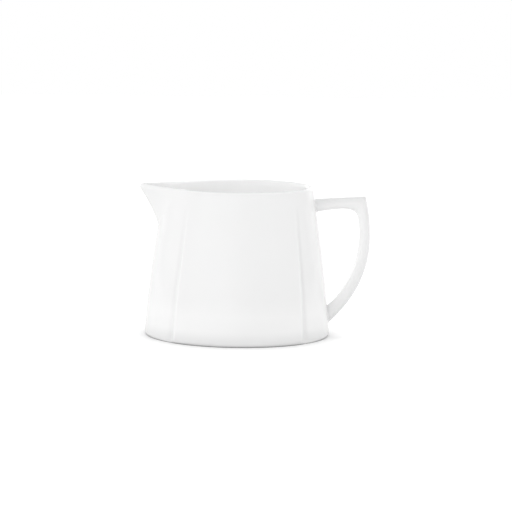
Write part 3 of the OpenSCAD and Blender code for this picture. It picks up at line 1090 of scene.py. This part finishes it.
@dataclass
class LoopHandle:
    """Handle: a nearly level bar, a crisp elbow and a long bow back to the foot of the wall.

    A place along the handle is 0 at the wall, 1 at the elbow and 2 at its lower end.
    """

    form: JugForm
    finish: bpy.types.Material
    elbow: tuple[float, float] = (75.4, 83.28)
    elbow_in: float = 5.1
    elbow_down: float = 8.15
    elbow_curve: float = 5.3
    bar_z: float = 81.25
    bar_t: float = 8.2
    bar_sunk: float = 1.0
    bar_pull: float = 7.5
    bar_slope: tuple[float, float] = (-1.0, 0.1)
    bow_lean_out: float = 13.0
    bow_pulls_out: tuple[float, float] = (27.0, 35.0)
    bow_lean_in: float = 10.0
    bow_pulls_in: tuple[float, float] = (18.0, 21.0)
    root_lean: float = 47.0
    root_z: float = 7.5
    root_h: float = 10.1
    root_depth: float = 4.0
    bar_w: float = 11.0
    root_w: float = 9.0
    bend_share: float = 0.12
    tail: float = 0.2
    section_power: float = 2.4
    seat: float = 0.3
    seat_share: float = 0.5
    clear_of_bar_end: float = 0.6
    clear_of_root: float = 1.6
    halvings: int = 40
    fillet: float = 0.9
    fillet_sunk: float = 0.35
    fillet_tuck: float = 0.2
    fillet_probe: float = 0.01
    fillet_steps: int = 8
    bar_side_shade: tuple[float, float] = (0.0, 0.85)
    bead_shade: float = 0.5
    rings: int = 150
    sides: int = 72
    elbow_crowding: float = 0.55
    elbow_spread: float = 0.16
    crowding_steps: int = 2001

    def __post_init__(self) -> None:
        """Sets the angles round the section."""
        self.turns = np.linspace(0, 2 * math.pi, self.sides, endpoint=False)

    def bar_start(self, z: float) -> Array:
        """Start of an edge of the bar, just inside the wall at a height."""
        return np.array([self.form.mouth_d / 2 - self.bar_sunk, z])

    def root_end(self, z: float) -> Array:
        """End of an edge of the bow, on the wall at a height."""
        return np.array([self.form.wall_r(z), z])

    def past_root(self, root: Array, s: Array) -> Array:
        """Points on from the end of an edge, into the wall."""
        return root - leaning(1, self.root_lean) * (self.root_depth * (s - 2) / self.tail)[..., None]

    def edge_out(self, s: Array) -> Array:
        """Outer edge of the handle.

        Args:
            s: Places along the handle.

        Returns:
            Points in the plane of the handle.
        """
        elbow, low = np.array(self.elbow), self.root_end(self.root_z)
        from_elbow = elbow + leaning(self.bow_pulls_out[0], 180 - self.bow_lean_out)
        to_root = low + leaning(self.bow_pulls_out[1], self.root_lean)
        near = bezier([self.bar_start(self.bar_z), elbow], np.clip(s, 0, 1))
        far = bezier([elbow, from_elbow, to_root, low], np.clip(s - 1, 0, 1))
        return np.where((s <= 1)[..., None], near, np.where((s <= 2)[..., None], far, self.past_root(low, s)))

    def edge_in(self, s: Array) -> Array:
        """Inner edge of the handle at the same places.

        Args:
            s: Places along the handle.

        Returns:
            Points in the plane of the handle.
        """
        inside = np.array(self.elbow) - [self.elbow_in, self.elbow_down]
        slope, share = np.array(self.bar_slope), self.bend_share
        bend_start = inside + self.elbow_curve * slope
        bend_end = inside + leaning(self.elbow_curve, 180 - self.bow_lean_in)
        high = self.root_end(self.root_z + self.root_h)
        from_bend = bend_end + leaning(self.bow_pulls_in[0], 180 - self.bow_lean_in)
        to_root = high + leaning(self.bow_pulls_in[1], self.root_lean)
        bar = [self.bar_start(self.bar_z - self.bar_t), bend_start + self.bar_pull * slope, bend_start]
        under = bezier(bar, np.clip(s / (1 - share), 0, 1))
        bend = bezier([bend_start, inside, bend_end], np.clip((s - 1 + share) / 2 / share, 0, 1))
        bow = bezier([bend_end, from_bend, to_root, high], np.clip((s - 1 - share) / (1 - share), 0, 1))
        first = np.where((s <= 1 - share)[..., None], under, np.where((s <= 1 + share)[..., None], bend, bow))
        return np.where((s <= 2)[..., None], first, self.past_root(high, s))

    def surface(self, s: Array, turn: Array) -> Array:
        """Points on the handle's skin.

        Args:
            s: Places along the handle.
            turn: Angles round its section, in radians, from the outer edge.

        Returns:
            Points in millimetres.
        """
        outer, inner = self.edge_out(s), self.edge_in(s)
        power = 2 / self.section_power
        up = np.sign(np.cos(turn)) * np.abs(np.cos(turn)) ** power
        across = np.sign(np.sin(turn)) * np.abs(np.sin(turn)) ** power
        flat = (outer + inner) / 2 + (outer - inner) / 2 * up[..., None]
        half_w = (self.bar_w + (self.root_w - self.bar_w) * np.clip(s / 2, 0, 1)) / 2
        return np.stack([flat[..., 0], half_w * across, flat[..., 1]], -1)

    def meet_wall(self, near: float, far: float, sink: float) -> Array:
        """Finds where lines along the handle reach the wall.

        Args:
            near: A place along the handle that is within the wall.
            far: A place that is clear of it.
            sink: Depth below the surface of the wall.

        Returns:
            One place along the handle for each angle round the section.
        """
        low, high = np.full_like(self.turns, near), np.full_like(self.turns, far)
        for _ in range(self.halvings):
            middle = (low + high) / 2
            p = self.surface(middle, self.turns)
            within = np.hypot(p[:, 0], p[:, 1]) < self.form.wall_r(p[:, 2]) - sink
            low, high = np.where(within, middle, low), np.where(within, high, middle)
        return (low + high) / 2

    def places(self) -> Array:
        """Spaces the rings, closer together round the elbow.

        Returns:
            Places along the handle.
        """
        along = np.linspace(0, 2, self.crowding_steps)
        pull = self.elbow_crowding * np.exp(-(((along - 1) / self.elbow_spread) ** 2)) / self.elbow_spread
        density = np.cumsum(1 + pull)
        return np.interp(np.linspace(density[0], density[-1], self.rings), density, along)

    def bar(self) -> bpy.types.Mesh:
        """Builds the handle, seated in the wall at both ends.

        Returns:
            The closed mesh.
        """
        top = self.meet_wall(0.0, self.clear_of_bar_end, self.seat)
        end = self.meet_wall(2 + self.tail, self.clear_of_root, self.seat)
        base = self.places()[:, None]
        at_start = np.maximum(0.0, 1 - base / self.seat_share) ** 2
        at_end = np.maximum(0.0, (base - 2 + self.seat_share) / self.seat_share) ** 2
        spread = base + top * at_start + (end - 2) * at_end
        points = self.surface(spread, np.broadcast_to(self.turns, spread.shape)).reshape(-1, 3)
        rings = points.reshape(self.rings, self.sides, 3)
        caps = np.stack([rings[0].mean(0), rings[-1].mean(0)])
        count = len(points)
        first = fan(np.arange(self.sides), count)
        last = fan(np.arange(count - self.sides, count), count + 1)
        quads = ring_faces(self.rings, self.sides).reshape(-1, 4)
        faces = [*quads.tolist(), *first[:, ::-1].tolist(), *last.tolist()]
        mesh = smooth_mesh("jug_handle", np.concatenate([points, caps]), faces)
        # Painted shade on the handle: darker along its outer edge, lightest along its inner edge.
        thin_glaze_lit, thick_glaze_shaded = self.bar_side_shade
        section = (thin_glaze_lit + thick_glaze_shaded) / 2 + (thick_glaze_shaded - thin_glaze_lit) / 2 * np.cos(self.turns)
        depth = [np.tile(section, self.rings), np.full(len(caps), thick_glaze_shaded)]
        write_points(mesh, GLAZE_AND_SHADE, np.concatenate(depth))
        return mesh

    def bead(self, name: str, near: float, far: float) -> bpy.types.Mesh:
        """Builds the smoothed bead of slip in the corner between handle and wall.

        Args:
            name: Name of the bead.
            near: A place along the handle that is within the wall.
            far: A place that is clear of it.

        Returns:
            The closed mesh.
        """
        s = self.meet_wall(near, far, 0.0)
        corner = self.surface(s, self.turns)
        probe = self.fillet_probe * np.sign(far - near)
        along = unit(self.surface(s + probe, self.turns) - corner)
        around = unit(np.roll(corner, -1, 0) - np.roll(corner, 1, 0))
        r = np.hypot(corner[:, 0], corner[:, 1])
        slope = self.form.wall_slope(corner[:, 2])
        wall = unit(np.stack([corner[:, 0] / r, corner[:, 1] / r, slope], -1))
        out = unit(np.cross(around, wall))
        out *= np.sign(((corner - corner.mean(0)) * out).sum(1))[:, None]
        on_wall, on_handle = corner + self.fillet * out, corner + self.fillet * along
        hollow = [bezier([on_wall, corner, on_handle], t) for t in np.linspace(0, 1, self.fillet_steps + 1)]
        sunk = corner - self.fillet_sunk * wall - self.fillet_tuck * (out + along)
        loops = [*hollow, sunk]
        faces = ring_faces(len(loops), self.sides, looped=True).reshape(-1, 4)
        mesh = smooth_mesh(name, np.concatenate(loops), faces.tolist())
        # Painted shade in the joint between handle and wall.
        write_points(mesh, GLAZE_AND_SHADE, np.full(len(mesh.vertices), self.bead_shade))
        return mesh

    def build(self) -> None:
        """Makes the handle and its two beads and puts them on the jug."""
        place_piece("jug_handle", self.bar(), self.finish, Slot.PORCELAIN, "handle")
        upper = self.bead("handle_upper_bead", 0.0, self.clear_of_bar_end)
        place_piece("handle_upper_bead", upper, self.finish, Slot.FIRED_SLIP, "handle_upper_slip_joint")
        lower = self.bead("handle_lower_bead", 2 + self.tail, self.clear_of_root)
        place_piece("handle_lower_bead", lower, self.finish, Slot.FIRED_SLIP, "handle_lower_slip_joint")


@dataclass(frozen=True)
class Bearing:
    """Direction from the jug in degrees: azimuth 0 is towards the viewer, and 90 is past the handle."""

    azimuth: float
    elevation: float

    def away(self) -> Vector:
        """The direction as a step of length 1."""
        a, e = math.radians(self.azimuth), math.radians(self.elevation)
        return Vector((math.sin(a) * math.cos(e), -math.cos(a) * math.cos(e), math.sin(e)))

    def hang(self, lamp: bpy.types.Light, target: Vector, distance: float) -> None:
        """Hangs a lamp that faces the jug and is seen only by its light.

        Args:
            lamp: The lamp.
            target: Point that it faces.
            distance: Distance from that point in metres.
        """
        holder = bpy.data.objects.new(lamp.name, lamp)
        bpy.context.scene.collection.objects.link(holder)
        holder.location = target + distance * self.away()
        holder.rotation_euler = self.away().to_track_quat("Z", "Y").to_euler()
        holder.visible_camera = False
        holder.visible_glossy = False


@dataclass(frozen=True)
class SoftBox:
    """One large soft lamp, aimed at the jug; sizes in metres."""

    name: str
    bearing: Bearing
    size: tuple[float, float]
    level: float
    distance: float = 2.0

    def build(self, target: Vector) -> None:
        """Hangs the lamp.

        Args:
            target: Point that it faces.
        """
        lamp = bpy.data.lights.new(self.name, "AREA")
        lamp.shape = "RECTANGLE"
        lamp.size, lamp.size_y = self.size
        lamp.energy = self.level * math.pi * self.size[0] * self.size[1]
        self.bearing.hang(lamp, target, self.distance)


@dataclass(frozen=True)
class MouthLamp:
    """Narrow lamp that shines into the mouth of the jug and leaves its outside alone; sizes in metres."""

    name: str = "mouth_lamp"
    bearing: Bearing = Bearing(180.0, 65.0)
    mouth: tuple[float, float, float] = (-0.005, 0.004, 0.0887)
    distance: float = 2.0
    beam_radius: float = 0.038
    soft_edge: float = 0.5
    bulb_radius: float = 0.004
    level: float = 0.95

    def build(self) -> None:
        """Hangs the lamp so that it faces the mouth."""
        lamp = bpy.data.lights.new(self.name, "SPOT")
        lamp.spot_size = 2 * math.atan(self.beam_radius / self.distance)
        lamp.spot_blend = self.soft_edge
        lamp.shadow_soft_size = self.bulb_radius
        lamp.energy = self.level * 4 * math.pi**2 * self.distance**2
        self.bearing.hang(lamp, Vector(self.mouth), self.distance)


@dataclass(frozen=True)
class Glint:
    """Soft round patch of light that shows only in the mirror of the glaze; sizes in degrees."""

    bearing: Bearing
    inner: float
    outer: float
    level: float

    def shade(self, nodes: NodeWriter, aim: Socket) -> Socket:
        """Adds the patch to the surroundings.

        Args:
            nodes: Tree of the surroundings.
            aim: Socket of the direction looked in.

        Returns:
            The socket of its brightness in that direction.
        """
        sides = {0: aim, 1: self.bearing.away()}
        near = nodes.add("ShaderNodeVectorMath", sides, operation="DOT_PRODUCT").outputs["Value"]
        edge, full = math.cos(math.radians(self.outer)), math.cos(math.radians(self.inner))
        return nodes.ramp(near, edge, full, 0.0, self.level, smooth=True)


@dataclass(frozen=True)
class Studio:
    """Plain white floor, white surroundings, soft lamps and the camera; sizes in metres and degrees."""

    target: tuple[float, float, float] = (0.01081, 0.0, 0.04687)
    camera_distance: float = 1.5908
    camera_pitch: float = 7.05
    camera_turn: float = 1.26
    camera_roll: float = 0.84
    camera_reach: float = 17.6
    lens: float = 188.2
    floor_size: float = 4.4
    floor_colour: Colour = (0.8, 0.8, 0.8)
    floor_shown: Colour = (0.9, 0.9, 0.9)
    floor_glow: float = 0.34
    floor_mirror: float = 0.24
    contact_reach: float = 0.02
    contact_depth: float = 0.32
    room: float = 0.667
    mirror_room: float = 0.46
    lamps: tuple[SoftBox, ...] = (
        SoftBox("front_left_box", Bearing(-31.0, 12.0), size=(2.0, 1.0), level=1.95),
        SoftBox("rear_left_box", Bearing(-118.0, 12.0), size=(1.6, 1.0), level=1.05),
        SoftBox("right_box", Bearing(90.0, 12.0), size=(2.2, 1.0), level=1.6),
        SoftBox("high_box", Bearing(180.0, 50.0), size=(1.8, 1.4), level=1.0),
    )
    mouth_lamp: MouthLamp = MouthLamp()
    glints: tuple[Glint, ...] = (
        Glint(Bearing(180.0, 5.0), inner=8.0, outer=34.0, level=0.5),
        Glint(Bearing(150.0, 4.0), inner=6.0, outer=30.0, level=0.7),
        Glint(Bearing(-150.0, 4.0), inner=6.0, outer=30.0, level=0.7),
        Glint(Bearing(-30.0, 8.0), inner=8.0, outer=45.0, level=0.37),
        Glint(Bearing(-106.0, 8.0), inner=4.0, outer=26.0, level=0.3),
    )

    def camera(self) -> None:
        """Sets the camera at the angle of the view."""
        data = bpy.data.cameras.new("view")
        data.lens = self.lens
        data.clip_end = self.camera_reach
        camera = bpy.data.objects.new("view", data)
        bpy.context.scene.collection.objects.link(camera)
        pitch, turn = math.radians(self.camera_pitch), math.radians(self.camera_turn)
        roll = math.radians(self.camera_roll)
        level = Vector((math.cos(turn), -math.sin(turn), 0.0))
        ahead = Vector((math.sin(turn) * math.cos(pitch), math.cos(turn) * math.cos(pitch), -math.sin(pitch)))
        rise = level.cross(ahead)
        right = math.cos(roll) * level + math.sin(roll) * rise
        up = math.cos(roll) * rise - math.sin(roll) * level
        facing = Matrix((right, up, -ahead)).transposed().to_4x4()
        stand = Matrix.Translation(Vector(self.target) - self.camera_distance * ahead)
        camera.matrix_world = stand @ facing
        bpy.context.scene.camera = camera

    def seen(self, nodes: NodeWriter) -> tuple[Socket, Socket]:
        """Tells rays that show the surroundings from rays that light the jug.

        Args:
            nodes: Tree that asks.

        Returns:
            A socket that is 1 for camera rays, and one that is 1 for glossy and transmission rays.
        """
        path = nodes.add("ShaderNodeLightPath").outputs
        mirror = nodes.math("MAXIMUM", path["Is Glossy Ray"], path["Is Transmission Ray"])
        return path["Is Camera Ray"], mirror

    def floor_finish(self) -> bpy.types.Material:
        """Makes the white of the floor, with a painted contact shadow close to the foot of the jug.

        Returns:
            The material.
        """
        material, nodes = blank_material("studio_floor")
        camera, mirror = self.seen(nodes)
        shade = nodes.blend(camera, self.floor_colour, self.floor_shown)
        # Painted contact shadow: the floor darkens where the jug closes in round it.
        open_share = nodes.add("ShaderNodeAmbientOcclusion", {"Distance": self.contact_reach}).outputs["AO"]
        contact = nodes.math("POWER", open_share, self.contact_depth)
        tint = nodes.add("ShaderNodeVectorMath", {0: shade, "Scale": contact}, operation="SCALE")
        matt = nodes.add("ShaderNodeBsdfDiffuse", {"Color": tint.outputs[0]})
        mirrored = nodes.math("MULTIPLY", mirror, self.floor_mirror)
        shown = nodes.math("MULTIPLY_ADD", camera, self.floor_glow, mirrored)
        glow = nodes.add("ShaderNodeEmission", {"Strength": nodes.math("MULTIPLY", shown, contact)})
        both = nodes.add("ShaderNodeAddShader", {0: matt.outputs[0], 1: glow.outputs[0]})
        nodes.add("ShaderNodeOutputMaterial", {"Surface": both.outputs[0]})
        return material

    def floor(self) -> None:
        """Lays the floor, which keeps the shadow of the jug."""
        half = self.floor_size / 2
        outline = [(-half, -half, 0), (half, -half, 0), (half, half, 0), (-half, half, 0)]
        mesh = bpy.data.meshes.new("studio_floor")
        mesh.from_pydata(outline, [], [(0, 1, 2, 3)])
        mesh.materials.append(self.floor_finish())
        floor = bpy.data.objects.new("studio_floor", mesh)
        bpy.context.scene.collection.objects.link(floor)

    def world(self) -> None:
        """Makes the surroundings: white where they are seen, and an even soft light elsewhere."""
        world = bpy.data.worlds.new("studio")
        bpy.context.scene.world = world
        world.use_nodes = True
        nodes = NodeWriter(world.node_tree)
        camera, mirror = self.seen(nodes)
        aim = nodes.add("ShaderNodeTexCoord").outputs["Generated"]
        shown = self.mirror_room
        for glint in self.glints:
            shown = nodes.math("ADD", shown, glint.shade(nodes, aim))
        lit = nodes.math("SUBTRACT", 1.0, nodes.math("MAXIMUM", camera, mirror))
        level = nodes.math("MULTIPLY_ADD", lit, self.room, nodes.math("MULTIPLY_ADD", mirror, shown, camera))
        light = nodes.add("ShaderNodeBackground", {"Color": (1.0, 1.0, 1.0, 1.0), "Strength": level})
        nodes.add("ShaderNodeOutputWorld", {"Surface": light.outputs[0]})

    def build(self) -> None:
        """Sets up the whole studio."""
        bpy.context.scene.view_settings.view_transform = "Standard"
        self.camera()
        self.floor()
        self.world()
        for lamp in self.lamps:
            lamp.build(Vector(self.target))
        self.mouth_lamp.build()


def main() -> None:
    """Builds the jug piece by piece, then the studio."""
    logging.basicConfig(level=logging.INFO, format="%(name)s: %(message)s")
    form = JugForm()
    glaze, clay = GlazedPorcelain().build(), BareClay().build()
    CastShell(form, Pleats(), glaze).build()
    FootRing(form, clay).build()
    LoopHandle(form, glaze).build()
    Studio().build()


if __name__ == "__main__":
    main()
